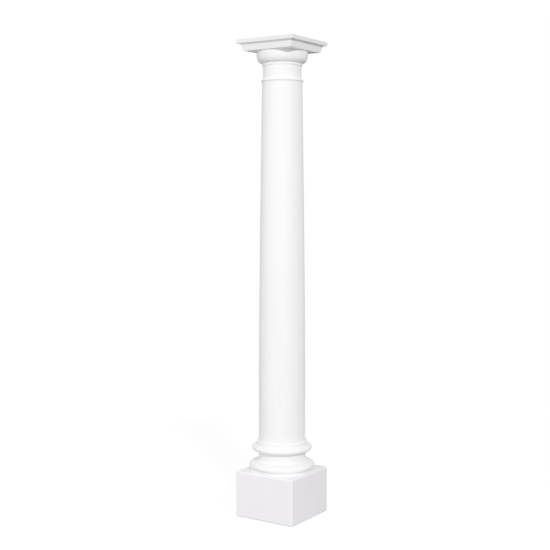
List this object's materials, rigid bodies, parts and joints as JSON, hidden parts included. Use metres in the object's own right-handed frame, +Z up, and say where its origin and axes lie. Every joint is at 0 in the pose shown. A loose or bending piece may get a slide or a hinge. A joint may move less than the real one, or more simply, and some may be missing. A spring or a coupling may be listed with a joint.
{
  "type": "decorative column",
  "caption": "White round column with a plain swelling shaft, a moulded capital under a square abacus, and a round base on a tall square plinth.",
  "frame": {"origin": "centre of the plinth's underside, on the ground", "axes": "+Z up along the column's axis, X and Y square to the plinth's faces"},
  "size_m": [0.346, 0.346, 2.44],
  "materials": {
    "plinth_white": "matt cool white cast surface with fine pores",
    "moulding_white": "matt white cast surface, turned smooth",
    "shaft_white": "matt white cast surface, rubbed smooth along its length",
    "capital_white": "matt white cast surface with softened arrises"
  },
  "bodies": {
    "root": {"plinth": "plinth_white", "base_moulding": "moulding_white", "shaft": "shaft_white", "capital": "capital_white"}
  },
  "joints": []
}
